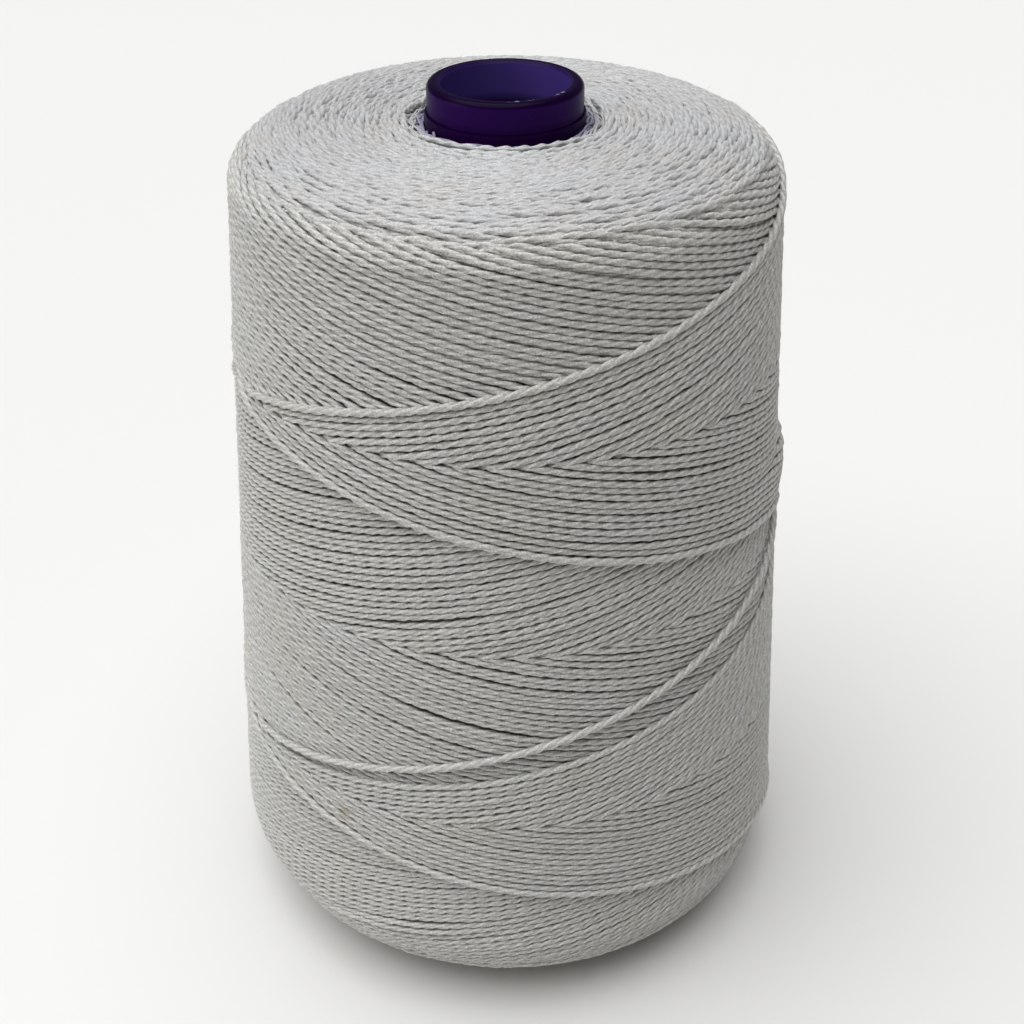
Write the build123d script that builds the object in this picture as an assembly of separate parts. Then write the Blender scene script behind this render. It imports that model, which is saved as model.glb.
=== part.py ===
from build123d import *
import math
import os

# A cone of waxed twine: a moulded former, tapered and hollow, with the twine cross-wound on it.
# It stands on the wide foot of the former, on the origin, with its nose up the Z axis.
# Lengths are in millimetres and angles in degrees.

# The former
CONE_HALF_ANGLE = 4 + 20 / 60
FORMER_LENGTH = 178.5
NOSE_RADIUS = 14.0
NOSE_COLLAR_LENGTH = 5.3
NOSE_RIM_ROUND = 1.2
BORE_RADIUS = 11.5
BORE_LAND_LENGTH = 12.0
BORE_MOUTH_CHAMFER = 0.5
FORMER_WALL = 2.2
FOOT_ROUND = 0.8

# The winding
WINDING_START = 7.0
NOSE_PROUD_OF_WINDING = 6.7
SHOULDER_RADIUS = 50.0
SHOULDER_WIDTH = 18.0
SHOULDER_HEIGHT = 9.2
TOP_FACE_DISH = 0.4
BASE_CORNER_ROUND = 13.5

TAPER = math.tan(math.radians(CONE_HALF_ANGLE))


def former_radius(height):
    """Outer radius of the former's tapered body at a height."""
    return NOSE_RADIUS + (FORMER_LENGTH - height) * TAPER


def turned(outline):
    """Solid of revolution about Z of a face drawn as radius and height."""
    return revolve(Plane.XZ * outline, axis=Axis.Z)


def corner(outline, radius, height):
    """The outline's corner nearest to a radius and height."""
    return outline.vertices().sort_by_distance((radius, height, 0))[0]


def make_former():
    """The tapered tube, with a straight collar at its nose and a straight bore land inside it."""
    collar_foot = FORMER_LENGTH - NOSE_COLLAR_LENGTH
    land_foot = FORMER_LENGTH - BORE_LAND_LENGTH
    inner_land_radius = former_radius(land_foot) - FORMER_WALL
    inner_foot_radius = former_radius(0) - FORMER_WALL
    outline = make_face(
        Polyline(
            (inner_foot_radius, 0),
            (former_radius(0), 0),
            (former_radius(collar_foot), collar_foot),
            (NOSE_RADIUS, collar_foot),
            (NOSE_RADIUS, FORMER_LENGTH),
            (BORE_RADIUS, FORMER_LENGTH),
            (BORE_RADIUS, land_foot),
            (inner_land_radius, land_foot - (inner_land_radius - BORE_RADIUS)),
            close=True,
        )
    )
    outline = fillet(corner(outline, NOSE_RADIUS, FORMER_LENGTH), NOSE_RIM_ROUND)
    outline = chamfer(corner(outline, BORE_RADIUS, FORMER_LENGTH), BORE_MOUTH_CHAMFER)
    outline = fillet(corner(outline, former_radius(0), 0), FOOT_ROUND)
    outline = fillet(corner(outline, inner_foot_radius, 0), FOOT_ROUND)
    return turned(outline)


def make_winding():
    """The body of twine: it grips the former, tapers as it does, and has soft shoulders."""
    top = FORMER_LENGTH - NOSE_PROUD_OF_WINDING
    crest = top + TOP_FACE_DISH
    crest_radius = SHOULDER_RADIUS - SHOULDER_WIDTH
    shoulder_foot = crest - SHOULDER_HEIGHT
    base_radius = SHOULDER_RADIUS + (shoulder_foot - WINDING_START) * TAPER
    shoulder = EllipticalCenterArc(
        (crest_radius, shoulder_foot), SHOULDER_WIDTH, SHOULDER_HEIGHT, start_angle=0, arc_size=90
    )
    rest = Polyline(
        (crest_radius, crest),
        (former_radius(top), top),
        (former_radius(WINDING_START), WINDING_START),
        (base_radius, WINDING_START),
        (SHOULDER_RADIUS, shoulder_foot),
    )
    outline = make_face(shoulder + rest)
    outline = fillet(corner(outline, base_radius, WINDING_START), BASE_CORNER_ROUND)
    return turned(outline)


nodes = {
    "plastic_former": make_former(),
    "thread_winding": make_winding(),
}

os.makedirs("parts", exist_ok=True)
for name, solid in nodes.items():
    export_step(solid, f"parts/{name}.step")
    print(name, "volume", round(solid.volume), "box", solid.bounding_box().size)
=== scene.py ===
"""Waxed thread spool: a tapered package of waxed three-ply twine, cross-wound on a hollow plastic former."""

import math

import bpy
import numpy as np
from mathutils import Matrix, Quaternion, Vector


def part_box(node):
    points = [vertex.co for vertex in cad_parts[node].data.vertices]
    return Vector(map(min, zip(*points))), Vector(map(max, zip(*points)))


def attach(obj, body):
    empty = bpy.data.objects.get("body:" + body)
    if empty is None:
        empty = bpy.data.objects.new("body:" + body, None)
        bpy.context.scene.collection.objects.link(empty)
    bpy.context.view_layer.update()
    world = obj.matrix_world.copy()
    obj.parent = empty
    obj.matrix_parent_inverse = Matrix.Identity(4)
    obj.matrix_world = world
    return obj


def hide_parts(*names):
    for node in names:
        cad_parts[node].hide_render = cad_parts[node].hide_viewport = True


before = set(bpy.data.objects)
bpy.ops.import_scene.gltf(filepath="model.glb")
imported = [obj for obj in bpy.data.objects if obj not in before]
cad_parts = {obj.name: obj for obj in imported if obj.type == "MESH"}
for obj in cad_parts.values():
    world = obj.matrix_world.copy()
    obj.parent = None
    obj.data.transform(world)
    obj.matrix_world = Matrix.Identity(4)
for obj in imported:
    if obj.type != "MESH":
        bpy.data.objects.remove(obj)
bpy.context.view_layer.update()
rng = np.random.default_rng(433)

MM = 0.001
TURN = 2.0 * math.pi

# ---------------------------------------------------------------- sizes, in millimetres
winding_low, winding_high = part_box("thread_winding")
_, former_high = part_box("plastic_former")
BASE_Z = winding_low.z / MM
CREST_Z = winding_high.z / MM
FORMER_TOP_Z = former_high.z / MM

TAPER = math.tan(math.radians(4.0 + 20.0 / 60.0))
SHOULDER_RADIUS = 50.0
SHOULDER_WIDTH = 18.0
SHOULDER_HEIGHT = 9.2
SHOULDER_Z = CREST_Z - SHOULDER_HEIGHT
TOP_FACE_DISH = 0.4
BASE_CORNER_ROUND = 13.5
NOSE_RADIUS = 14.0

# ---------------------------------------------------------------- how the thread is wound
THREAD_RADIUS = 0.66  # to the crowns of the plies
PLY_COUNT = 3
PLY_LAY = 9.0  # length of one full twist
RISE_PER_TURN = 77.5
TURNS_PER_STROKE = 2.0
DRIFT = 0.01768  # turns that each double stroke falls behind the one before
STROKES_PER_CYCLE = 1.0 / DRIFT  # double strokes until the surface is covered once more
TRAVERSE_LOW = 13.3
TRAVERSE_HIGH = 168.3
NEWEST_REVERSAL = 0.315  # turns from the front, where the newest strand turned back
LAYER_THICKNESS = 1.0
CYCLE_GROWTH = 1.7 * LAYER_THICKNESS / STROKES_PER_CYCLE  # radius gained per double stroke
SHARPEST_REVERSAL = 3.0 / 360.0
REVERSAL_TILT = 6.3 / 360.0  # turns either side of a reversal over which the strand steps outwards
REVERSAL_TAIL = 12.0 / 360.0
FALLING_LEAD = 2.5  # how many strokes older a falling strand may be and still lie over a rising one

# ---------------------------------------------------------------- the winding's outline
WALL_ANGLE = math.atan(TAPER)
corner_z = BASE_Z + BASE_CORNER_ROUND
corner_radius = SHOULDER_RADIUS + (SHOULDER_Z - corner_z) * TAPER - BASE_CORNER_ROUND / math.cos(WALL_ANGLE)
former_at_base = NOSE_RADIUS + (FORMER_TOP_Z - BASE_Z) * TAPER
former_at_top = NOSE_RADIUS + (FORMER_TOP_Z - CREST_Z) * TAPER
ARC_STEPS = 80
SLOPE_SPAN = 0.6  # height over which the wall's slope is measured
EDGE = 0.999  # keeps the rounded ends' square roots just inside the outline

corner_turn = np.linspace(-math.pi / 2.0, WALL_ANGLE, ARC_STEPS)
shoulder_turn = np.linspace(0.0, math.pi / 2.0, ARC_STEPS)
side_r = np.concatenate(
    [
        corner_radius + BASE_CORNER_ROUND * np.cos(corner_turn),
        SHOULDER_RADIUS - SHOULDER_WIDTH + SHOULDER_WIDTH * np.cos(shoulder_turn),
    ]
)
side_z = np.concatenate(
    [
        corner_z + BASE_CORNER_ROUND * np.sin(corner_turn),
        SHOULDER_Z + SHOULDER_HEIGHT * np.sin(shoulder_turn),
    ]
)


def wall_radius(z):
    """The winding's outer radius at a height."""
    return np.interp(z, side_z, side_r)


def wall_normal(z):
    """The outward normal of the wall, as its radial and upward parts."""
    slope = (wall_radius(z + 0.5 * SLOPE_SPAN) - wall_radius(z - 0.5 * SLOPE_SPAN)) / SLOPE_SPAN
    length = np.sqrt(1.0 + slope**2)
    return 1.0 / length, -slope / length


def top_height(r):
    """The height of the shoulder and the dished top face at a radius."""
    face_edge = SHOULDER_RADIUS - SHOULDER_WIDTH
    along = np.clip((r - face_edge) / SHOULDER_WIDTH, 0.0, EDGE)
    shoulder = SHOULDER_Z + SHOULDER_HEIGHT * np.sqrt(1.0 - along**2)
    inward = np.clip((face_edge - r) / (face_edge - former_at_top), 0.0, 1.0)
    return shoulder - TOP_FACE_DISH * inward


def base_height(r):
    """The height of the underside and its rounded corner at a radius."""
    along = np.clip((r - corner_radius) / BASE_CORNER_ROUND, 0.0, EDGE)
    return corner_z - BASE_CORNER_ROUND * np.sqrt(1.0 - along**2)


def smooth(x):
    """Eases from 0 to 1 as x goes from 0 to 1."""
    x = np.clip(x, 0.0, 1.0)
    return x * x * (3.0 - 2.0 * x)


def wander(count, spacing, sigma, reach=40.0):
    """A random drift for each sample along a strand, which changes over about one reach, in millimetres."""
    knots = max(4, int(count * spacing / reach) + 3)
    return np.interp(np.linspace(0.0, knots - 1.0, count), np.arange(knots), rng.normal(0.0, sigma, knots))


def blur(values, half):
    """A running mean over 2 * half + 1 samples."""
    padded = np.concatenate([np.full(half, values[0]), values, np.full(half, values[-1])])
    return np.convolve(padded, np.full(2 * half + 1, 1.0 / (2 * half + 1)), mode="valid")


# ---------------------------------------------------------------- thread meshes
SLUB_SIGMA = 0.055  # uneven thickness along the twine, as a share of its radius
SLUB_REACH = 2.2
STEP = 0.6  # distance between samples along a strand
# One ply seen end on: the angle from its crown in degrees, the share of the full radius, how exposed it is.
# The material paints the less exposed parts darker, as shade in the grooves.
PLY_PROFILE = [(0.0, 1.0, 1.0), (36.0, 0.945, 0.8), (64.0, 0.74, 0.0)]
ply_angles, ply_radii, ply_exposure = np.array(PLY_PROFILE).T
ring_angles = (np.arange(PLY_COUNT)[:, None] * TURN / PLY_COUNT + np.radians(ply_angles)[None, :]).ravel()
ring_radii = np.tile(ply_radii, PLY_COUNT)
ring_crown = np.tile(ply_exposure, PLY_COUNT)
RING = len(ring_angles)


def unit(v):
    """Each vector scaled to a length of one."""
    return v / np.linalg.norm(v, axis=-1, keepdims=True)


def thread_tube(path, outward, radius=THREAD_RADIUS, start_twist=0.0):
    """A length of twine along a path, in millimetres: its points, faces, UV map and crown values."""
    count = len(path)
    tangent = unit(np.gradient(path, axis=0))
    out = unit(outward - tangent * np.sum(outward * tangent, axis=1, keepdims=True))
    side = np.cross(out, tangent)
    travelled = np.concatenate([[0.0], np.cumsum(np.linalg.norm(np.diff(path, axis=0), axis=1))])
    angle = ring_angles[None, :] + (start_twist + TURN * travelled / PLY_LAY)[:, None]
    slubs = 1.0 + wander(count, STEP, SLUB_SIGMA, SLUB_REACH)
    reach = radius * ring_radii[None, :] * slubs[:, None]
    points = (
        path[:, None, :]
        + (reach * np.cos(angle))[:, :, None] * out[:, None, :]
        + (reach * np.sin(angle))[:, :, None] * side[:, None, :]
    ).reshape(-1, 3)
    first = (np.arange(count - 1) * RING)[:, None] + np.arange(RING)[None, :]
    turned = (np.arange(count - 1) * RING)[:, None] + (np.arange(RING)[None, :] + 1) % RING
    faces = np.stack([first, first + RING, turned + RING, turned], axis=2).reshape(-1, 4)
    u = np.repeat(travelled[:, None], RING, axis=1)
    v = np.repeat((np.arange(RING) / RING)[None, :], count, axis=0)
    v_next = v + 1.0 / RING
    uv = np.stack(
        [
            np.stack([u[:-1], v[:-1]], axis=2),
            np.stack([u[1:], v[1:]], axis=2),
            np.stack([u[1:], v_next[1:]], axis=2),
            np.stack([u[:-1], v_next[:-1]], axis=2),
        ],
        axis=2,
    ).reshape(-1, 2)
    crown = np.tile(ring_crown, count)
    return points, faces, uv, crown


def cylinder_point(turns, r, z):
    """Points at an angle in turns from the front, counted towards +X."""
    angle = TURN * turns
    return np.stack([r * np.sin(angle), -r * np.cos(angle), z * np.ones_like(r)], axis=1)


def cylinder_direction(turns, radial, upward):
    """Directions at an angle in turns from the front, from their radial and upward parts."""
    angle = TURN * turns
    return np.stack([radial * np.sin(angle), -radial * np.cos(angle), upward * np.ones_like(angle)], axis=1)


MAX_TRIANGLES = 190_000  # in one piece
FIBRE_SPACING = 7.0  # mean distance between loose fibres along the twine
FIBRE_RADIUS = 0.022
FIBRE_TIP = 0.35  # a fibre's thickness at its tip, as a share of that at its root
FIBRE_POINTS = 5
FIBRE_SIDES = 3
UPRIGHT_FIBRE = 0.8  # the upward share from which its sides are found another way
FIBRE_ROOT = (0.85, 0.45)  # where it leaves the twine: outwards and sideways, as shares of the twine's radius
FIBRE_LENGTHS = (0.5, 1.6)
FIBRE_LEANS = (0.15, 0.8)
FIBRE_SWAY = 0.5
FIBRE_BEND = (-0.15, 0.35)  # mean and spread
FIBRE_CURL = 0.4
PATTERN_SHIFT = 500.0  # how far the fibre pattern may start from one length of twine to the next
fibre_rng = np.random.default_rng(71)
fibre_paths = []


def grow_fibres(path, outward, radius):
    """Notes a few loose fibres that stand out from a length of twine."""
    last = len(path) - 1
    for _ in range(fibre_rng.poisson(last * STEP / FIBRE_SPACING)):
        at = int(fibre_rng.integers(1, last))
        out = outward[at] / np.linalg.norm(outward[at])
        along = (path[at + 1] - path[at - 1]) * fibre_rng.choice((-1.0, 1.0))
        along = along / np.linalg.norm(along)
        across = np.cross(out, along)
        sideways = FIBRE_ROOT[1] * fibre_rng.uniform(-1.0, 1.0) * across
        start = path[at] + radius * (FIBRE_ROOT[0] * out + sideways)
        length = fibre_rng.uniform(*FIBRE_LENGTHS)
        lean = fibre_rng.uniform(*FIBRE_LEANS)
        sway = fibre_rng.normal(0.0, FIBRE_SWAY)
        bend = fibre_rng.normal(*FIBRE_BEND)
        s = np.linspace(0.0, 1.0, FIBRE_POINTS)[:, None]
        direction = along + lean * out + sway * across
        curl = s * s * length * (bend * out + fibre_rng.normal(0.0, FIBRE_CURL) * across)
        fibre_paths.append(start + s * length * direction / np.linalg.norm(direction) + curl)


class ThreadBatch:
    """Collects lengths of twine and turns them into pieces of a bounded triangle count."""

    def __init__(self, name, material):
        self.name = name
        self.material = material
        self.done = []
        self.start()

    def start(self):
        """Empties the batch for its next piece."""
        self.points, self.quads, self.uvs, self.crowns, self.tints, self.caps = [], [], [], [], [], []
        self.offset = 0
        self.triangles = 0

    def add(self, path, outward, radius=THREAD_RADIUS, hairy=True):
        """Adds one length of twine, with its loose fibres where it is hairy."""
        points, faces, uv, crown = thread_tube(path, outward, radius, rng.uniform(0.0, TURN))
        triangles = 2 * len(faces) + 2 * (RING - 2)
        if self.triangles + triangles > MAX_TRIANGLES:
            self.close()
        last = self.offset + len(points) - RING
        self.caps.append(np.arange(self.offset, self.offset + RING))
        self.caps.append(np.arange(last, last + RING)[::-1])
        self.points.append(points)
        self.quads.append(faces + self.offset)
        self.uvs.append(uv + np.array([rng.uniform(0.0, PATTERN_SHIFT), 0.0]))
        self.crowns.append(crown)
        self.tints.append(np.full(len(points), rng.uniform(0.0, 1.0)))
        self.offset += len(points)
        self.triangles += triangles
        if hairy:
            grow_fibres(path, outward, radius)

    def close(self):
        """Makes one piece of what was collected so far."""
        if not self.points:
            return
        points = np.concatenate(self.points) * MM
        quads = np.concatenate(self.quads)
        caps = np.concatenate(self.caps)
        cap_count = len(self.caps)
        mesh = bpy.data.meshes.new(f"{self.name}_{len(self.done) + 1}")
        mesh.vertices.add(len(points))
        mesh.vertices.foreach_set("co", points.astype(np.float32).ravel())
        mesh.loops.add(quads.size + caps.size)
        mesh.loops.foreach_set("vertex_index", np.concatenate([quads.ravel(), caps]).astype(np.int32))
        mesh.polygons.add(len(quads) + cap_count)
        starts = np.concatenate([np.arange(len(quads)) * 4, quads.size + np.arange(cap_count) * RING])
        mesh.polygons.foreach_set("loop_start", starts.astype(np.int32))
        mesh.update(calc_edges=True)
        mesh.polygons.foreach_set("use_smooth", np.ones(len(quads) + cap_count, dtype=bool))
        layer = mesh.uv_layers.new(name="strand")
        uv = np.concatenate([np.concatenate(self.uvs), np.zeros((caps.size, 2))])
        layer.uv.foreach_set("vector", uv.astype(np.float32).ravel())
        for name, values in (("crown", self.crowns), ("tint", self.tints)):
            attribute = mesh.attributes.new(name, "FLOAT", "POINT")
            attribute.data.foreach_set("value", np.concatenate(values).astype(np.float32))
        mesh.materials.append(self.material)
        mesh.validate()
        piece = bpy.data.objects.new(mesh.name, mesh)
        bpy.context.scene.collection.objects.link(piece)
        self.done.append(piece)
        self.start()


# ---------------------------------------------------------------- materials
def new_material(name):
    """A material with its nodes, its links and its surface shader."""
    material = bpy.data.materials.new(name)
    material.use_nodes = True
    nodes = material.node_tree.nodes
    return material, nodes, material.node_tree.links, nodes["Principled BSDF"]


def node(nodes, kind, **settings):
    """A new node with some of its inputs or properties set."""
    made = nodes.new(kind)
    for key, value in settings.items():
        if key in made.inputs:
            made.inputs[key].default_value = value
        else:
            setattr(made, key, value)
    return made


def noise(nodes, links, place, scale, detail, roughness=0.5):
    """A noise pattern's value, over a place."""
    made = node(nodes, "ShaderNodeTexNoise", Scale=scale, Detail=detail, Roughness=roughness)
    links.new(place, made.inputs["Vector"])
    return made.outputs["Fac"]


def distance_to(nodes, links, place, centre):
    """The distance from a point given in millimetres, in metres."""
    made = nodes.new("ShaderNodeVectorMath")
    made.operation = "DISTANCE"
    made.inputs[1].default_value = [MM * value for value in centre]
    links.new(place, made.inputs[0])
    return made.outputs["Value"]


def bump(nodes, links, height, strength, distance, surface):
    """Gives a surface fine relief from a height pattern; the distance is in millimetres."""
    made = nodes.new("ShaderNodeBump")
    made.inputs["Strength"].default_value = strength
    made.inputs["Distance"].default_value = distance * MM
    links.new(height, made.inputs["Height"])
    links.new(made.outputs["Normal"], surface.inputs["Normal"])


def colour_mix(nodes, links, factor, first, second, blend="MIX"):
    """Mixes two colours; each of the three inputs is a value or a socket. Returns the result's socket."""
    mix = nodes.new("ShaderNodeMix")
    mix.data_type = "RGBA"
    mix.blend_type = blend
    sockets = {s.identifier: s for s in mix.inputs}
    for key, value in (("Factor_Float", factor), ("A_Color", first), ("B_Color", second)):
        if isinstance(value, bpy.types.NodeSocket):
            links.new(value, sockets[key])
        else:
            sockets[key].default_value = value
    return {s.identifier: s for s in mix.outputs}["Result_Color"]


def ramp(nodes, links, source, low, high):
    """Maps low..high of a socket to 0..1, clamped."""
    made = nodes.new("ShaderNodeMapRange")
    made.inputs["From Min"].default_value = low
    made.inputs["From Max"].default_value = high
    links.new(source, made.inputs["Value"])
    return made.outputs["Result"]


def product(nodes, links, first, *others):
    """The product of several sockets."""
    for other in others:
        made = nodes.new("ShaderNodeMath")
        made.operation = "MULTIPLY"
        links.new(first, made.inputs[0])
        links.new(other, made.inputs[1])
        first = made.outputs["Value"]
    return first


def from_axis(nodes, links, place):
    """The distance from the object's axis, in metres."""
    flat = nodes.new("ShaderNodeVectorMath")
    flat.operation = "MULTIPLY"
    flat.inputs[1].default_value = (1.0, 1.0, 0.0)
    links.new(place, flat.inputs[0])
    radius = nodes.new("ShaderNodeVectorMath")
    radius.operation = "LENGTH"
    links.new(flat.outputs["Vector"], radius.inputs[0])
    return radius.outputs["Value"]


WHITE = (1.0, 1.0, 1.0, 1.0)

# Twine on the wall and, where strands lie edge to edge and catch the light, on the top face. The top face's
# colours are a second, painted copy made against the strong light from above: darker crowns and fainter
# grain, streaks and glints.
TOP_FACE = (166.5 * MM, 170.0 * MM)  # the heights between which the wall's colours give way to the top face's
# Crowns and valleys of the plies: the valleys are painted darker, as shade in the grooves.
TWINE_CROWN = (0.84, 0.84, 0.82, 1.0)
TWINE_VALLEY = (0.53, 0.52, 0.49, 1.0)
TWINE_CROWN_ON_TOP = (0.70, 0.705, 0.71, 1.0)
TWINE_VALLEY_ON_TOP = (0.50, 0.50, 0.50, 1.0)
# Painted glints along the fibres, standing in for the wax's highlights; a fainter copy on the top face.
TWINE_GLINT = (1.16, 1.16, 1.17, 1.0)
TWINE_GLINT_ON_TOP = (1.10, 1.10, 1.11, 1.0)
TWINE_GRAIN = (0.66, 0.655, 0.64, 1.0)
TWINE_GRAIN_ON_TOP = (0.78, 0.775, 0.765, 1.0)
TWINE_STREAK = (0.74, 0.735, 0.725, 1.0)
TWINE_STREAK_ON_TOP = (0.85, 0.845, 0.84, 1.0)
TWINE_WARM = (1.0, 0.975, 0.945, 1.0)
TWINE_COOL = (0.86, 0.885, 0.93, 1.0)
TWINE_DULL_LOT = (0.94, 0.935, 0.925, 1.0)
# Painted purple-tinted shade on the twine beside the plastic nose.
NOSE_SHADE_TINT = (0.58, 0.54, 0.80, 1.0)
NEAR_NOSE = (15.2 * MM, 16.8 * MM)  # the distances from the axis over which the painted purple shade beside the nose fades
TWINE_STAIN = (0.66, 0.56, 0.42, 1.0)
STAIN_PLACE = (-31.9, -49.1, 49.0)
STAIN_EDGE = (3.0 * MM, 4.8 * MM)
STAIN_RAGGEDNESS = 5.5 * MM
# Noise patterns: the scale, the detail and the roughness.
FIBRE_STRETCH = (1.3, 26.0, 1.0)  # fine and long, along the strand
FIBRE_NOISE = (1.0, 3.0, 0.6)
PATCH_NOISE = (70.0, 3.0, 0.55)
SPECK_NOISE = (2300.0, 2.0, 0.6)
GRAIN_NOISE = (3200.0, 3.0, 0.65)
# The part of each pattern's range over which it takes effect.
STREAKED = (0.38, 0.62)
GLINTING = (0.60, 0.70)
WARMED = (0.42, 0.68)
COOLED = (0.5, 0.75)
GRAINED = (0.40, 0.56)


def make_twine():
    """Waxed twine: paler on the crowns of its plies and darker in their grooves as painted shade, with
    fibres, grain, faint patches, one stain and painted glints; a darker copy of its colours on the top face,
    against the light from above, and painted purple shade beside the nose.
    """
    material, nodes, links, surface = new_material("waxed_twine")
    place = nodes.new("ShaderNodeTexCoord").outputs["Object"]
    strand = node(nodes, "ShaderNodeUVMap", uv_map="strand").outputs["UV"]
    crown = node(nodes, "ShaderNodeAttribute", attribute_name="crown").outputs["Fac"]
    tint = node(nodes, "ShaderNodeAttribute", attribute_name="tint").outputs["Fac"]
    split = nodes.new("ShaderNodeSeparateXYZ")
    links.new(place, split.inputs["Vector"])
    on_top = ramp(nodes, links, split.outputs["Z"], *TOP_FACE)

    along = nodes.new("ShaderNodeMapping")
    along.inputs["Scale"].default_value = FIBRE_STRETCH
    links.new(strand, along.inputs["Vector"])
    fibres = noise(nodes, links, along.outputs["Vector"], *FIBRE_NOISE)
    patches = noise(nodes, links, place, *PATCH_NOISE)
    specks = noise(nodes, links, place, *SPECK_NOISE)
    grain = noise(nodes, links, place, *GRAIN_NOISE)

    # The top face takes its painted, darker and flatter copy of the colours, against the light from above.
    valley = colour_mix(nodes, links, on_top, TWINE_VALLEY, TWINE_VALLEY_ON_TOP)
    raised = colour_mix(nodes, links, on_top, TWINE_CROWN, TWINE_CROWN_ON_TOP)
    # Painted shade in the ply grooves: the less exposed parts of each ply take the valley colour.
    base = colour_mix(nodes, links, crown, valley, raised)
    warm = colour_mix(nodes, links, ramp(nodes, links, patches, *WARMED), base, TWINE_WARM, "MULTIPLY")
    cool = colour_mix(nodes, links, ramp(nodes, links, specks, *COOLED), warm, TWINE_COOL, "MULTIPLY")
    streak = colour_mix(nodes, links, on_top, TWINE_STREAK, TWINE_STREAK_ON_TOP)
    glint = colour_mix(nodes, links, on_top, TWINE_GLINT, TWINE_GLINT_ON_TOP)
    streaked = colour_mix(nodes, links, ramp(nodes, links, fibres, *STREAKED), streak, WHITE)
    # Painted glints where the fibre pattern is highest.
    glinting = colour_mix(nodes, links, ramp(nodes, links, fibres, *GLINTING), streaked, glint)
    fibred = colour_mix(nodes, links, 1.0, cool, glinting, "MULTIPLY")
    lot = colour_mix(nodes, links, tint, TWINE_DULL_LOT, WHITE)
    plain = colour_mix(nodes, links, 1.0, fibred, lot, "MULTIPLY")
    from_nose = ramp(nodes, links, from_axis(nodes, links, place), *NEAR_NOSE)
    # Painted purple shade on the twine near the nose, fading out away from the axis.
    nose_shaded = colour_mix(nodes, links, from_nose, NOSE_SHADE_TINT, WHITE)
    tinted = colour_mix(nodes, links, 1.0, plain, nose_shaded, "MULTIPLY")
    grain_colour = colour_mix(nodes, links, on_top, TWINE_GRAIN, TWINE_GRAIN_ON_TOP)
    speckled = colour_mix(nodes, links, ramp(nodes, links, grain, *GRAINED), grain_colour, WHITE)
    grained = colour_mix(nodes, links, 1.0, tinted, speckled, "MULTIPLY")

    ragged = node(nodes, "ShaderNodeMath", operation="MULTIPLY_ADD")
    ragged.inputs[1].default_value = STAIN_RAGGEDNESS
    links.new(specks, ragged.inputs[0])
    links.new(distance_to(nodes, links, place, STAIN_PLACE), ragged.inputs[2])
    off_stain = ramp(nodes, links, ragged.outputs["Value"], *STAIN_EDGE)
    clean = colour_mix(nodes, links, off_stain, TWINE_STAIN, WHITE)
    finished = colour_mix(nodes, links, 1.0, grained, clean, "MULTIPLY")
    links.new(finished, surface.inputs["Base Color"])

    surface.inputs["Roughness"].default_value = 0.45
    surface.inputs["Specular IOR Level"].default_value = 0.5
    surface.inputs["Sheen Weight"].default_value = 0.2
    surface.inputs["Sheen Roughness"].default_value = 0.5
    surface.inputs["Coat Weight"].default_value = 0.15
    surface.inputs["Coat Roughness"].default_value = 0.3
    relief = nodes.new("ShaderNodeMath")
    relief.operation = "ADD"
    links.new(fibres, relief.inputs[0])
    links.new(grain, relief.inputs[1])
    bump(nodes, links, relief.outputs["Value"], strength=0.6, distance=0.12, surface=surface)
    return material


# The twine beneath the covering strands shows only in the gaps, so it is painted dark as shade; paler on the
# top face, where the light from above reaches into the gaps, and purple beside the nose as painted purple
# shade.
HEART_COLOUR = (0.24, 0.22, 0.19, 1.0)
HEART_MOTTLE = (0.34, 0.315, 0.28, 1.0)
HEART_ON_TOP = (0.62, 0.615, 0.61, 1.0)
HEART_BESIDE_NOSE = (0.24, 0.21, 0.42, 1.0)
HEART_NOISE = (500.0, 3.0)
HEART_TOP_FACE = (161.0 * MM, 167.0 * MM)
HEART_NEAR_NOSE = (16.5 * MM, 17.6 * MM)


def make_heart():
    """The twine beneath the covering strands, painted dark as shade: paler on the top face where light
    reaches into the gaps, and purple beside the nose as painted purple shade.
    """
    material, nodes, links, surface = new_material("shaded_twine")
    place = nodes.new("ShaderNodeTexCoord").outputs["Object"]
    split = nodes.new("ShaderNodeSeparateXYZ")
    links.new(place, split.inputs["Vector"])
    mottle = noise(nodes, links, place, *HEART_NOISE)
    mottled = colour_mix(nodes, links, mottle, HEART_COLOUR, HEART_MOTTLE)
    on_top = ramp(nodes, links, split.outputs["Z"], *HEART_TOP_FACE)
    outer = colour_mix(nodes, links, on_top, mottled, HEART_ON_TOP)
    beside_nose = ramp(nodes, links, from_axis(nodes, links, place), *HEART_NEAR_NOSE)
    links.new(colour_mix(nodes, links, beside_nose, HEART_BESIDE_NOSE, outer), surface.inputs["Base Color"])
    surface.inputs["Roughness"].default_value = 0.9
    return material


LOOSE_FIBRE = (0.84, 0.84, 0.83, 1.0)
LOOSE_FIBRE_NOISE = (200.0, 2.0)


def make_fibre_material():
    """Loose fibres, the colour of the twine's crowns."""
    material, nodes, links, surface = new_material("loose_fibre")
    place = nodes.new("ShaderNodeTexCoord").outputs["Object"]
    patches = noise(nodes, links, place, *LOOSE_FIBRE_NOISE)
    links.new(colour_mix(nodes, links, patches, TWINE_CROWN, LOOSE_FIBRE), surface.inputs["Base Color"])
    surface.inputs["Roughness"].default_value = 0.5
    surface.inputs["Sheen Weight"].default_value = 0.3
    return material


# The side is painted darker down towards the thread, as shade, and lighter higher up.
PLASTIC_SIDE_LOW = (0.012, 0.0006, 0.030, 1.0)
PLASTIC_SIDE_HIGH = (0.0215, 0.0027, 0.068, 1.0)
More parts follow.
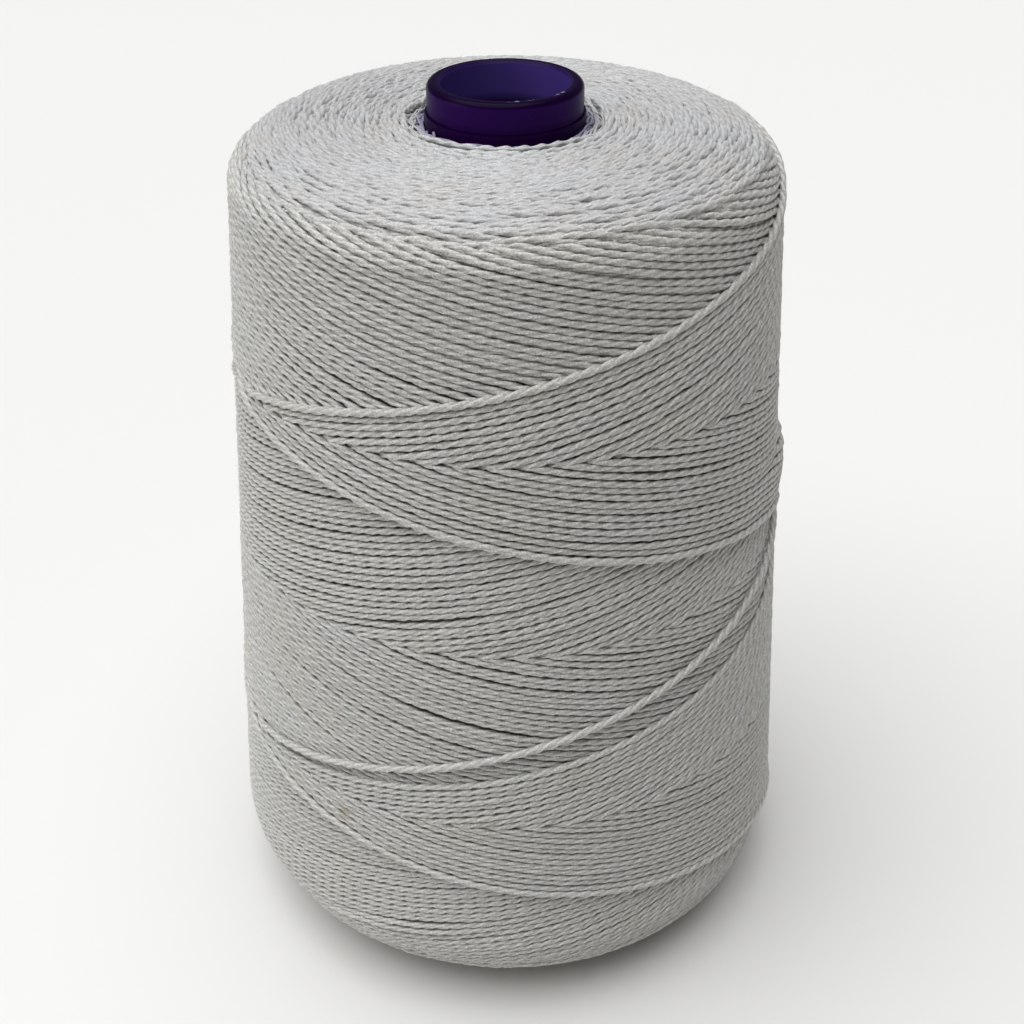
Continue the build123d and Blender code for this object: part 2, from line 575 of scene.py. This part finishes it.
# Painted light in the bore: lighter and bluer towards its mouth, where light falls in, and darker deeper down
# as shade.
PLASTIC_BORE_LOW = (0.010, 0.002, 0.030, 1.0)
PLASTIC_BORE_HIGH = (0.075, 0.045, 0.250, 1.0)
PLASTIC_RIM = (0.0062, 0.0005, 0.018, 1.0)
PLASTIC_LIP = (0.020, 0.009, 0.062, 1.0)
# Painted glints on small nicks in the mouth's front edge.
PLASTIC_NICK_GLINT = (0.30, 0.24, 0.42, 1.0)
# A painted dark band on the ledge, as shade, which hides the ledge's highlight.
PLASTIC_LEDGE = (0.50, 0.50, 0.55, 1.0)
PLASTIC_SWIRL = (0.90, 0.85, 0.95, 1.0)
SWIRL_NOISE = (60.0, 2.0)
SWIRLED = (0.4, 0.7)
NICK_GLINT_NOISE = (900.0, 3.0, 0.75)
NICK_GLINT_BREAKUP = (0.47, 0.53)
SCUFF_NOISE = (900.0, 4.0, 0.6)
# Heights between which one colour gives way to the next, and distances from the axis that do the same.
ABOVE_THREAD = (172.2 * MM, 174.8 * MM)
LIT_BORE = (170.8 * MM, 173.0 * MM)
MOUTH = (177.95 * MM, 178.05 * MM)
RIM = (177.5 * MM, 177.9 * MM)
LEDGE_FROM_BELOW = (173.05 * MM, 173.15 * MM)
LEDGE_FROM_ABOVE = (173.35 * MM, 173.25 * MM)
BEYOND_LIP = (12.0 * MM, 12.1 * MM)
AT_MOUTH = (12.6 * MM, 12.4 * MM)
# Where painted glints sit on small nicks in the mouth's edge: the place, in millimetres, and how far the
# glints reach from it.
NICK_GLINT_PLACES = [((2.3, -11.7, 178.5), 2.8), ((8.9, -7.7, 178.5), 1.7)]
NICK_GLINT_FADE = 0.7


def make_plastic():
    """Deep purple plastic, painted lighter and bluer in the mouth of the bore as light and darker deeper down
    as shade, with painted glints on nicks in the mouth's front edge, a side painted darker towards the thread
    and painted shade on the ledge.
    """
    material, nodes, links, surface = new_material("purple_plastic")
    place = nodes.new("ShaderNodeTexCoord").outputs["Object"]
    split = nodes.new("ShaderNodeSeparateXYZ")
    links.new(place, split.inputs["Vector"])
    height = split.outputs["Z"]
    radius = from_axis(nodes, links, place)

    # Painted shade low on the side, near the thread.
    above_thread = ramp(nodes, links, height, *ABOVE_THREAD)
    side = colour_mix(nodes, links, above_thread, PLASTIC_SIDE_LOW, PLASTIC_SIDE_HIGH)
    # Painted shade on the ledge, hiding its highlight.
    from_below = ramp(nodes, links, height, *LEDGE_FROM_BELOW)
    from_above = ramp(nodes, links, height, *LEDGE_FROM_ABOVE)
    on_ledge = product(nodes, links, from_below, from_above)
    side = colour_mix(nodes, links, on_ledge, side, PLASTIC_LEDGE, "MULTIPLY")

    # Painted glints on the nicks, broken into specks by noise.
    nick_glint_breakup = ramp(nodes, links, noise(nodes, links, place, *NICK_GLINT_NOISE), *NICK_GLINT_BREAKUP)
    at_mouth = ramp(nodes, links, radius, *AT_MOUTH)
    edge = PLASTIC_RIM
    for centre, reach in NICK_GLINT_PLACES:
        away = distance_to(nodes, links, place, centre)
        near = ramp(nodes, links, away, reach * MM, NICK_GLINT_FADE * reach * MM)
        edge = colour_mix(nodes, links, product(nodes, links, nick_glint_breakup, at_mouth, near), edge, PLASTIC_NICK_GLINT)

    # Painted light and shade in the bore.
    lit_bore = ramp(nodes, links, height, *LIT_BORE)
    bore = colour_mix(nodes, links, lit_bore, PLASTIC_BORE_LOW, PLASTIC_BORE_HIGH)
    inside = colour_mix(nodes, links, ramp(nodes, links, height, *MOUTH), bore, PLASTIC_LIP)
    outside = colour_mix(nodes, links, ramp(nodes, links, height, *RIM), side, edge)
    whole = colour_mix(nodes, links, ramp(nodes, links, radius, *BEYOND_LIP), inside, outside)
    swirl = ramp(nodes, links, noise(nodes, links, place, *SWIRL_NOISE), *SWIRLED)
    links.new(colour_mix(nodes, links, swirl, whole, PLASTIC_SWIRL, "MULTIPLY"), surface.inputs["Base Color"])
    surface.inputs["Roughness"].default_value = 0.30
    surface.inputs["Specular IOR Level"].default_value = 0.035
    scuffs = noise(nodes, links, place, *SCUFF_NOISE)
    bump(nodes, links, scuffs, strength=0.12, distance=0.05, surface=surface)
    return material


twine = make_twine()
heart = make_heart()
plastic = make_plastic()

# ---------------------------------------------------------------- strands on the wall
BURIED_LENGTH = 3.4  # how far a strand runs on under the ones that cover it
BURIED_DEPTH = 1.05
BURIED_EASE = 1.3
LINE_SIGMA = 0.07
WANDER_SIGMA = 0.08
LEVEL_SIGMA = 0.05
LEVEL_REACH = 15.0
LEVEL_EASE = 3.0  # length over which a change of level is smoothed
NOTCH_SIGMA = 0.04  # short, sharp unevenness of the line and the level
NOTCH_REACH = 2.5
NEWEST_RAISE = 0.35
NEWEST_RADIUS = 1.14 * THREAD_RADIUS  # it lies loose on the others, so it is rounder than they are
GAP_OVERLAP = 2.5  # strokes by which older falling strands run on below the gap under the newest strand
GAP_LIFT = 0.2  # how far the newest strand has to lie off its line for there to be a gap
GAP_TOP_Z = 0.5 * (TRAVERSE_LOW + TRAVERSE_HIGH) + 20.0  # the gap lies below this height
UNDERLAYER_FROM = 146.0  # the height above which the layer beneath shows between the spread strands
UNDERLAYER_SINK = 0.62


# The newest rising strand has slid up off its regular line: the angle from the front in turns, and how far.
SLID_AT = [-0.50, -0.21, -0.10, 0.0, 0.10, 0.194, 0.28, 0.40, 0.50]
SLID_BY = [0.0, 0.0, 1.9, 4.6, 7.1, 9.0, 8.2, 3.0, 0.0]
SLID_SAMPLES = 401
SLID_EASE = 16


def loose_newest(turns):
    """How far the newest rising strand lies above its regular line, by its angle in turns."""
    fine = np.linspace(SLID_AT[0], SLID_AT[-1], SLID_SAMPLES)
    eased = blur(np.interp(fine, SLID_AT, SLID_BY), SLID_EASE)
    return np.interp(turns - 1.0, fine, eased, left=0.0, right=0.0)


def turns_on_first_turn(turns):
    """The same angle, counted on the turn where the newest rising strand is loose."""
    return 1.0 + np.mod(turns + 0.5, 1.0) - 0.5


BULGE_TURN = 0.25
BULGE_FULL = 0.03  # turns either side over which the bulge is at its full height
BULGE_FADE = 0.05
BULGE_HEIGHT = 1.35
BULGE_TOP_Z = 108.5
BULGE_BOTTOM_Z = 94.0
BULGE_LIP = 2.2


def bulge(turns, z):
    """A slack bundle of falling strands that stands proud on the right-hand side."""
    away = np.abs(np.mod(turns - BULGE_TURN + 0.5, 1.0) - 0.5)
    window = 1.0 - smooth((away - BULGE_FULL) / BULGE_FADE)
    climb = smooth((z - BULGE_BOTTOM_Z) / (BULGE_TOP_Z - BULGE_BOTTOM_Z))
    lip = smooth((BULGE_TOP_Z + BULGE_LIP - z) / BULGE_LIP)
    return BULGE_HEIGHT * window * climb * lip


def age_of_rising(turns, z):
    """How many strokes ago the rising strand at a place was laid."""
    return np.mod(turns - NEWEST_REVERSAL - (z - TRAVERSE_LOW) / RISE_PER_TURN, 1.0) / DRIFT


def age_of_falling(turns, z):
    """How many strokes ago the falling strand at a place was laid."""
    return np.mod(turns - NEWEST_REVERSAL - (TRAVERSE_HIGH - z) / RISE_PER_TURN, 1.0) / DRIFT


# Places where neighbouring strands have parted or one stands proud: whether they rise, the angles in degrees
# between which they do, the height at the middle, how far they part and how far the one above stands out.
PARTED = [
    (False, -22.0, 4.0, 77.1, 0.30, 0.0),
    (True, -27.0, -3.0, 99.4, 0.28, 0.0),
    (False, 2.0, 28.0, 163.5, 0.26, 0.15),
    (False, 30.0, 72.0, 163.8, 0.30, 0.25),
    (False, -47.0, -28.0, 163.5, 0.22, 0.1),
    (True, -42.0, -8.0, 20.9, 0.55, 0.50),
    (True, -28.0, -9.0, 23.6, 0.34, 0.30),
    (True, -22.0, -10.0, 25.7, 0.20, 0.10),
    (True, 36.0, 60.0, 27.5, 0.20, 0.2),
    (False, 20.0, 46.0, 125.3, 0.20, 0.0),
    (True, 20.0, 44.0, 82.6, 0.20, 0.0),
    (False, -60.0, -38.0, 68.0, 0.18, 0.0),
    (True, 10.0, 42.0, 40.0, 0.16, 0.1),
]
PART_REACH = 2.2  # distance across the strands over which they close up again
PART_FADE = 2.5
PART_MARGIN = 0.15
PART_LIMIT = 4.0
STRAND_PITCH = RISE_PER_TURN * DRIFT


def parted(rising, age, turns, z):
    """How far a strand lies above its line, and how far it stands out, near the places in PARTED."""
    up = np.zeros_like(z)
    out = np.zeros_like(z)
    degrees = 360.0 * (np.mod(turns + 0.5, 1.0) - 0.5)
    for strands_rise, start, end, middle_z, gap, proud in PARTED:
        if strands_rise != rising:
            continue
        slope = RISE_PER_TURN / 360.0 * (1.0 if rising else -1.0)
        middle = 0.5 * (start + end)
        line_z = middle_z + slope * (degrees - middle)
        age_of = age_of_rising if rising else age_of_falling
        line_age = math.floor(float(age_of(middle / 360.0, middle_z))) + 0.5
        above = STRAND_PITCH * (line_age - age) * (1.0 if rising else -1.0)
        along = (degrees - start) / (end - start)
        here = np.abs(z - line_z - above) < PART_LIMIT
        opening = smooth(PART_FADE * (along + PART_MARGIN))
        closing = smooth(PART_FADE * (1.0 + PART_MARGIN - along))
        window = opening * closing * here
        up = up + gap * math.exp(-abs(above) / PART_REACH) * math.copysign(1.0, above) * window
        if 0.0 < above < STRAND_PITCH:
            out = out + proud * window
    return up, out


def reversal_width(age, falling_side):
    """Half-width of a wall strand's reversal in turns, wide enough to stay on the rounded end."""
    r = wall_radius(TRAVERSE_HIGH if falling_side else TRAVERSE_LOW) + LAYER_THICKNESS - CYCLE_GROWTH * age
    if falling_side:
        room = TRAVERSE_HIGH - top_height(r)
    else:
        room = base_height(r) - TRAVERSE_LOW
    return max(SHARPEST_REVERSAL, room / RISE_PER_TURN)


def runs_of(mask):
    """The first and last index of each unbroken run of True."""
    edges = np.flatnonzero(np.diff(np.concatenate([[0], mask.astype(int), [0]])))
    return list(zip(edges[::2], edges[1::2] - 1, strict=True))


def wall_strand(batch, age, rising, sunk=0.0):
    """One stroke of the wall's covering layer: the lengths of it that show, tucked in at both ends."""
    mean_length = TURN * wall_radius(0.5 * (TRAVERSE_LOW + TRAVERSE_HIGH))
    count = int((TURNS_PER_STROKE + REVERSAL_TAIL) * mean_length / STEP)
    x = np.linspace(-REVERSAL_TAIL, TURNS_PER_STROKE, count)
    from_low = np.sqrt(x**2 + reversal_width(age, not rising) ** 2)
    from_high = np.sqrt((TURNS_PER_STROKE - x) ** 2 + reversal_width(age, rising) ** 2)
    near = x < 0.5 * TURNS_PER_STROKE
    if rising:
        z = np.where(near, TRAVERSE_LOW + RISE_PER_TURN * from_low, TRAVERSE_HIGH - RISE_PER_TURN * from_high)
    else:
        z = np.where(near, TRAVERSE_HIGH - RISE_PER_TURN * from_low, TRAVERSE_LOW + RISE_PER_TURN * from_high)
    turns = NEWEST_REVERSAL + age * DRIFT + x
    if rising:
        other = age_of_falling(turns, z)
        shown = other >= age + FALLING_LEAD - 0.5
    else:
        other = age_of_rising(turns, z)
        shown = other >= age - FALLING_LEAD + 0.5
        gaping = loose_newest(turns_on_first_turn(turns)) > GAP_LIFT
        over_gap = ~shown & (other < GAP_OVERLAP) & gaping & (z < GAP_TOP_Z)
        other = np.where(over_gap, other + STROKES_PER_CYCLE, other)
        shown = shown | over_gap
    if sunk:
        shown = shown & (z > UNDERLAYER_FROM)
    level = LAYER_THICKNESS * (1.0 - (age + other) / STROKES_PER_CYCLE) - sunk
    level = blur(level, int(LEVEL_EASE / STEP))
    if age == 0:
        level = level + NEWEST_RAISE
    up, out = parted(rising, age, turns, z)
    level = level + out
    if not rising:
        level = level + bulge(turns, z)
    z = z + up + wander(count, STEP, WANDER_SIGMA)
    z = z + wander(count, STEP, NOTCH_SIGMA, NOTCH_REACH) + rng.normal(0.0, LINE_SIGMA)
    if rising and age == 0:
        z = z + loose_newest(turns)
    step_out = LAYER_THICKNESS * (smooth(0.5 + 0.5 * x / REVERSAL_TILT) - 1.0)
    level = level + step_out + wander(count, STEP, LEVEL_SIGMA, LEVEL_REACH)
    level = level + wander(count, STEP, NOTCH_SIGMA, NOTCH_REACH)
    buried = int(BURIED_LENGTH / STEP)
    for first, last in runs_of(shown):
        if last - first < 3:
            continue
        begin, end = max(0, first - buried), min(count - 1, last + buried)
        if x[first] < REVERSAL_TAIL:
            begin = 0
        index = np.arange(begin, end + 1)
        tuck = np.zeros(len(index))
        if begin > 0:
            tuck += 1.0 - smooth((index - begin) / (BURIED_EASE * buried))
        tuck += 1.0 - smooth((end - index) / (BURIED_EASE * buried))
        radial, upward = wall_normal(z[index])
        inset = level[index] - BURIED_DEPTH * tuck
        r = wall_radius(z[index]) + inset - THREAD_RADIUS * radial
        path = cylinder_point(turns[index], r, z[index] - THREAD_RADIUS * upward)
        radius = NEWEST_RADIUS if age == 0 else THREAD_RADIUS
        batch.add(path, cylinder_direction(turns[index], radial, upward), radius)


rising_batch = ThreadBatch("rising_turns", twine)
falling_batch = ThreadBatch("falling_turns", twine)
cycle_strands = int(STROKES_PER_CYCLE) + 1
for age in range(cycle_strands):
    wall_strand(rising_batch, age, True)
    wall_strand(falling_batch, age, False)
    wall_strand(rising_batch, age + 0.5, True, UNDERLAYER_SINK)
    wall_strand(falling_batch, age + 0.5, False, UNDERLAYER_SINK)
rising_batch.close()
falling_batch.close()


# ---------------------------------------------------------------- reversals on the two ends
END_WIDTH = 9.0 / 360.0
END_WIDTHS = (0.75, 1.25)
END_TILT = 12.7 / 360.0
END_TAIL = 1.6  # how far a strand runs either side of its reversal, as a share of the tilt
END_TAILS = (0.9, 1.1)
END_TURN_SIGMA = 0.004
BASE_LEAN = 0.2
BASE_STEP = 1.0
BASE_CLEARANCE = 1.0  # between the innermost reversals and the former
END_ROW = 1.25  # distance between rows of reversals along the end of the package
END_RADIAL_SIGMA = 0.24
END_HEIGHT_SIGMA = 0.05
FIRST_END_STROKE = 40
INNERMOST_TOP = 18.1
NOSE_LIFT = 0.6  # how far the thread heaps up beside the nose
NOSE_LIFT_REACH = 4.0


def end_profile(top, inner_radius):
    """An end of the package in section, from the wall inwards: distance run, radius and height."""
    if top:
        r = np.append(side_r[ARC_STEPS:], inner_radius)
        z = np.append(side_z[ARC_STEPS:], CREST_Z - TOP_FACE_DISH)
        edge_z = TRAVERSE_HIGH
    else:
        r = np.append(side_r[:ARC_STEPS][::-1], inner_radius)
        z = np.append(side_z[:ARC_STEPS][::-1], BASE_Z)
        edge_z = TRAVERSE_LOW
    run = np.concatenate([[0.0], np.cumsum(np.hypot(np.diff(r), np.diff(z)))])
    return run - np.interp(abs(edge_z - z[0]), np.abs(z - z[0]), run), r, z


def end_reversals(batch, top, inner_radius, step):
    """The older reversals, one per double stroke, which make up an end face of the package."""
    run, run_r, run_z = end_profile(top, inner_radius)
    row_growth = END_ROW / STROKES_PER_CYCLE
    count = int(run[-1] / row_growth)
    facing = 1.0 if top else -1.0
    for stroke in range(FIRST_END_STROKE, count):
        apex_run = row_growth * stroke + rng.normal(0.0, END_RADIAL_SIGMA)
        apex_r = np.interp(apex_run, run, run_r)
        apex_turn = NEWEST_REVERSAL + stroke * DRIFT + rng.normal(0.0, END_TURN_SIGMA)
        width = END_WIDTH * rng.uniform(*END_WIDTHS)
        tail = END_TAIL * END_TILT * rng.uniform(*END_TAILS)
        samples = max(8, int(2.0 * tail * TURN * apex_r / step))
        x = np.linspace(-tail, tail, samples)
        drop = RISE_PER_TURN * (np.sqrt(x**2 + width**2) - width)
        place = apex_run - 0.5 * END_ROW * x / END_TILT
        r = np.interp(place, run, run_r)
        height = np.interp(place, run, run_z)
        heaped = NOSE_LIFT * smooth(1.0 - (apex_r - inner_radius) / NOSE_LIFT_REACH) if top else 0.0
        z = height + facing * (rng.normal(0.0, END_HEIGHT_SIGMA) + heaped - THREAD_RADIUS - drop)
        lean = max(0.0, (apex_r - (SHOULDER_RADIUS - SHOULDER_WIDTH)) / SHOULDER_WIDTH) if top else BASE_LEAN
        turns = apex_turn + x
        batch.add(cylinder_point(turns, r, z), cylinder_direction(turns, lean, facing))


top_batch = ThreadBatch("top_reversals", twine)
end_reversals(top_batch, True, INNERMOST_TOP, STEP)
NET_STRANDS = 420  # fine lengths of the first layers, which show between the nose and the newer thread
NET_RADIUS = 0.24
NET_SPACE = (former_at_top + 0.25, INNERMOST_TOP - 0.3)
NET_TAILS = (6.0, 14.0)  # degrees
NET_POINTS = 18
NET_SAGS = (0.4, 2.2)
NET_DEPTHS = (0.6, 1.9)
NET_SLANT = 0.5
NET_LEAN = 0.4
for _ in range(NET_STRANDS):
    apex_r = rng.uniform(*NET_SPACE)
    tail = rng.uniform(*NET_TAILS) / 360.0
    x = np.linspace(-tail, tail, NET_POINTS)
    drop = 0.5 * rng.uniform(*NET_SAGS) * (x / tail) ** 2
    top_z = CREST_Z - rng.uniform(*NET_DEPTHS)
    turns = rng.uniform(0.0, 1.0) + x
    r = apex_r + rng.normal(0.0, NET_SLANT) * x / tail
    path = cylinder_point(turns, r, top_z - drop)
    top_batch.add(path, cylinder_direction(turns, NET_LEAN, 1.0), NET_RADIUS, hairy=False)

# A knobbly length of the innermost turn lies against the nose in front, with both its ends tucked in.
KNOB_SPACING = 3.2
KNOB_HEIGHT = 0.13
KNOBBLY_RADIUS = 17.2
KNOBBLY_TURNS = 0.25
KNOBBLY_THICKNESS = 0.8 * THREAD_RADIUS
KNOBBLY_FINENESS = 1.5  # samples for each step of the other strands
KNOBBLY_RAISE = 0.22
KNOBBLY_LEAN = 0.2
KNOBBLY_SPREAD = 0.6
SPREAD_FROM, SPREAD_OVER = 0.08, 0.1  # turns
KNOBBLY_TUCK = 2.2
TUCK_FROM = 0.12  # turns
knobbly_length = 2.0 * KNOBBLY_TURNS * TURN * KNOBBLY_RADIUS
x = np.linspace(-KNOBBLY_TURNS, KNOBBLY_TURNS, int(knobbly_length / STEP * KNOBBLY_FINENESS))
knobs = KNOB_HEIGHT * np.cos(TURN * x * TURN * KNOBBLY_RADIUS / KNOB_SPACING)
tuck = KNOBBLY_TUCK * smooth((np.abs(x) - TUCK_FROM) / (KNOBBLY_TURNS - TUCK_FROM))
z = CREST_Z - TOP_FACE_DISH + NOSE_LIFT - THREAD_RADIUS + KNOBBLY_RAISE + knobs - tuck
r = KNOBBLY_RADIUS + KNOBBLY_SPREAD * smooth((np.abs(x) - SPREAD_FROM) / SPREAD_OVER)
facing = cylinder_direction(x, KNOBBLY_LEAN * np.ones_like(x), 1.0)
top_batch.add(cylinder_point(x, r, z), facing, KNOBBLY_THICKNESS, hairy=False)
top_batch.close()
base_batch = ThreadBatch("base_reversals", twine)
end_reversals(base_batch, False, former_at_base + BASE_CLEARANCE, BASE_STEP)
base_batch.close()


# ---------------------------------------------------------------- the wound mass beneath the covering strands
def turned_solid(name, outline, material, segments=160):
    """A closed solid of revolution from a closed outline of (radius, height), in millimetres."""
    count = len(outline)
    angles = np.arange(segments) * TURN / segments
    r, z = outline[:, 0], outline[:, 1]
    points = np.stack(
        [
            np.sin(angles)[:, None] * r[None, :],
            -np.cos(angles)[:, None] * r[None, :],
            np.ones(segments)[:, None] * z[None, :],
        ],
        axis=2,
    ).reshape(-1, 3)
    here = (np.arange(segments) * count)[:, None] + np.arange(count)[None, :]
    there = ((np.arange(segments) + 1) % segments * count)[:, None] + np.arange(count)[None, :]
    here_next, there_next = np.roll(here, -1, axis=1), np.roll(there, -1, axis=1)
    faces = np.stack([here, there, there_next, here_next], axis=2).reshape(-1, 4)
    mesh = bpy.data.meshes.new(name)
    mesh.from_pydata((points * MM).tolist(), [], faces.tolist())
    mesh.polygons.foreach_set("use_smooth", np.ones(len(faces), dtype=bool))
    mesh.materials.append(material)
    piece = bpy.data.objects.new(name, mesh)
    bpy.context.scene.collection.objects.link(piece)
    return piece


HEART_INSET = 2.0  # beneath the outline
HEART_INSET_ON_TOP = 0.95
HEART_CLEARANCE = 0.2  # from the former
FACE_POINTS = 6
GAP_DEPTH = 4.0  # of the gap beside the nose
GAP_FLOOR_SLANT = 1.0
GAP_WALL_SLANT = 0.4
underside_r = np.linspace(former_at_base + HEART_CLEARANCE, corner_radius, FACE_POINTS)
heart_outline = [(r, BASE_Z + HEART_INSET) for r in underside_r]
for turn in corner_turn[1:]:
    reach = BASE_CORNER_ROUND - HEART_INSET
    heart_outline.append((corner_radius + reach * math.cos(turn), corner_z + reach * math.sin(turn)))
for turn in shoulder_turn:
    inset = HEART_INSET + (HEART_INSET_ON_TOP - HEART_INSET) * math.sin(turn)
    heart_outline.append(
        (
            SHOULDER_RADIUS - SHOULDER_WIDTH + (SHOULDER_WIDTH - inset) * math.cos(turn),
            SHOULDER_Z + (SHOULDER_HEIGHT - inset) * math.sin(turn),
        )
    )
for r in np.linspace(SHOULDER_RADIUS - SHOULDER_WIDTH, INNERMOST_TOP, FACE_POINTS)[1:]:
    heart_outline.append((r, top_height(r) - HEART_INSET_ON_TOP))
gap_floor_z = CREST_Z - GAP_DEPTH
heart_outline.append((INNERMOST_TOP - GAP_WALL_SLANT, gap_floor_z + GAP_FLOOR_SLANT))
heart_outline.append((NOSE_RADIUS + (FORMER_TOP_Z - gap_floor_z) * TAPER + HEART_CLEARANCE, gap_floor_z))
heart_piece = turned_solid("wound_mass", np.array(heart_outline), heart)


# ---------------------------------------------------------------- loose fibres
def make_fibres(name, paths, material):
    """Some of the loose fibres as one piece of thin tapering three-sided hairs."""
    tangent = unit(np.gradient(paths, axis=1))
    upright = np.abs(tangent[:, :, 2:3]) >= UPRIGHT_FIBRE
    helper = np.where(upright, np.array([1.0, 0.0, 0.0]), np.array([0.0, 0.0, 1.0]))
    first = unit(np.cross(tangent, helper))
    second = np.cross(tangent, first)
    taper = FIBRE_RADIUS * np.linspace(1.0, FIBRE_TIP, FIBRE_POINTS)[None, :, None, None]
    around = (np.arange(FIBRE_SIDES) * TURN / FIBRE_SIDES)[None, None, :, None]
    ring = np.cos(around) * first[:, :, None, :] + np.sin(around) * second[:, :, None, :]
    points = (paths[:, :, None, :] + taper * ring).reshape(-1, 3)
    starts = (np.arange(len(paths)) * FIBRE_POINTS * FIBRE_SIDES)[:, None, None]
    level = (np.arange(FIBRE_POINTS - 1) * FIBRE_SIDES)[None, :, None]
    here = np.arange(FIBRE_SIDES)[None, None, :]
    there = (here + 1) % FIBRE_SIDES
    low, low_next = starts + level + here, starts + level + there
    quads = np.stack([low, low_next, low_next + FIBRE_SIDES, low + FIBRE_SIDES], axis=3).reshape(-1, 4)
    end = FIBRE_SIDES * (FIBRE_POINTS - 1)
    ends = np.concatenate([starts[:, 0] + np.array([[2, 1, 0]]), starts[:, 0] + end + np.array([[0, 1, 2]])])
    mesh = bpy.data.meshes.new(name)
    mesh.from_pydata((points * MM).tolist(), [], quads.tolist() + ends.tolist())
    mesh.polygons.foreach_set("use_smooth", np.ones(len(mesh.polygons), dtype=bool))
    mesh.materials.append(material)
    piece = bpy.data.objects.new(name, mesh)
    bpy.context.scene.collection.objects.link(piece)
    return piece


FIBRES_PER_PIECE = 7000
fibre_material = make_fibre_material()
fibre_pieces = []
for first in range(0, len(fibre_paths), FIBRES_PER_PIECE):
    paths = np.array(fibre_paths[first : first + FIBRES_PER_PIECE])
    fibre_pieces.append(make_fibres(f"loose_fibres_{len(fibre_pieces) + 1}", paths, fibre_material))

# ---------------------------------------------------------------- the object's pieces in the frame
strand_pieces = rising_batch.done + falling_batch.done + top_batch.done + base_batch.done
for piece in [*strand_pieces, heart_piece, *fibre_pieces]:
    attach(piece, "root")
    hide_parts("thread_winding")

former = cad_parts["plastic_former"]
former.data.materials.clear()
former.data.materials.append(plastic)

# ---------------------------------------------------------------- floor, camera and lights
FLOOR_HALF = 4.0
FLOOR_COLOUR = (0.74, 0.73, 0.71, 1.0)
BACKDROP_COLOUR = (0.87, 0.87, 0.86, 1.0)
BLACK = (0.0, 0.0, 0.0, 1.0)


def plain_mesh(name, points, faces, material):
    """A mesh in one material, put into the scene."""
    mesh = bpy.data.meshes.new(name)
    mesh.from_pydata(points, [], faces)
    mesh.materials.append(material)
    made = bpy.data.objects.new(name, mesh)
    bpy.context.scene.collection.objects.link(made)
    return made


floor_material, _, _, floor_surface = new_material("pale_floor")
floor_surface.inputs["Base Color"].default_value = FLOOR_COLOUR
floor_surface.inputs["Roughness"].default_value = 0.8
floor_corners = [(FLOOR_HALF * x, FLOOR_HALF * y, 0.0) for x, y in ((-1, -1), (1, -1), (1, 1), (-1, 1))]
floor = plain_mesh("floor", floor_corners, [(0, 1, 2, 3)], floor_material)

# A pale round wall far behind everything. Only the camera sees it, so it adds no light.
WALL_DISTANCE = 3.9
WALL_HEIGHT = 3.0
WALL_SIDES = 64
backdrop_material, _, _, backdrop_surface = new_material("pale_backdrop")
backdrop_surface.inputs["Base Color"].default_value = BLACK
backdrop_surface.inputs["Specular IOR Level"].default_value = 0.0
backdrop_surface.inputs["Emission Color"].default_value = BACKDROP_COLOUR
backdrop_surface.inputs["Emission Strength"].default_value = 1.0
wall_angles = [TURN * side / WALL_SIDES for side in range(WALL_SIDES)]
wall_points = [
    (WALL_DISTANCE * math.cos(angle), WALL_DISTANCE * math.sin(angle), height)
    for height in (0.0, WALL_HEIGHT)
    for angle in wall_angles
]
wall_faces = [
    (side, (side + 1) % WALL_SIDES, WALL_SIDES + (side + 1) % WALL_SIDES, WALL_SIDES + side)
    for side in range(WALL_SIDES)
]
backdrop = plain_mesh("backdrop", wall_points, wall_faces, backdrop_material)
backdrop.visible_diffuse = False
backdrop.visible_glossy = False
backdrop.visible_transmission = False
backdrop.visible_volume_scatter = False
backdrop.visible_shadow = False


def aim(thing, place, target, roll=0.0):
    """Puts a camera or lamp at a place, in metres, looking at a target."""
    thing.location = place
    look = (Vector(target) - Vector(place)).to_track_quat("-Z", "Y")
    thing.rotation_mode = "QUATERNION"
    thing.rotation_quaternion = look @ Quaternion((0.0, 0.0, 1.0), roll)


CAMERA_PLACE = (0.0, -0.2493, 0.2546)
CAMERA_TARGET = (0.0010, 0.0, 0.0869)
CAMERA_ROLL = -0.0026
camera_data = bpy.data.cameras.new("camera")
camera_data.sensor_width = 36.0
camera_data.lens = 49.87
camera_data.clip_start = 0.01
camera = bpy.data.objects.new("camera", camera_data)
bpy.context.scene.collection.objects.link(camera)
aim(camera, CAMERA_PLACE, CAMERA_TARGET, CAMERA_ROLL)
bpy.context.scene.camera = camera


def broad_sun(name, towards, strength, spread, colour=(1.0, 1.0, 1.0)):
    """A distant lamp shining along a direction, as wide as a big softbox."""
    data = bpy.data.lights.new(name, "SUN")
    data.energy = strength
    data.color = colour
    data.angle = math.radians(spread)
    lamp = bpy.data.objects.new(name, data)
    bpy.context.scene.collection.objects.link(lamp)
    aim(lamp, (0.0, 0.0, 1.0), Vector((0.0, 0.0, 1.0)) + Vector(towards))


COOL_WHITE = (0.975, 0.988, 1.0)
ROOM_LIGHT = 0.14
broad_sun("overhead", towards=(0.20, 0.05, -1.0), strength=3.55, spread=70.0, colour=COOL_WHITE)
broad_sun("left_fill", towards=(1.3, 0.35, -0.26), strength=0.49, spread=32.0)

world = bpy.data.worlds.new("studio")
world.use_nodes = True
background = world.node_tree.nodes["Background"]
background.inputs["Color"].default_value = WHITE
background.inputs["Strength"].default_value = ROOM_LIGHT
bpy.context.scene.world = world
bpy.context.scene.view_settings.view_transform = "Standard"
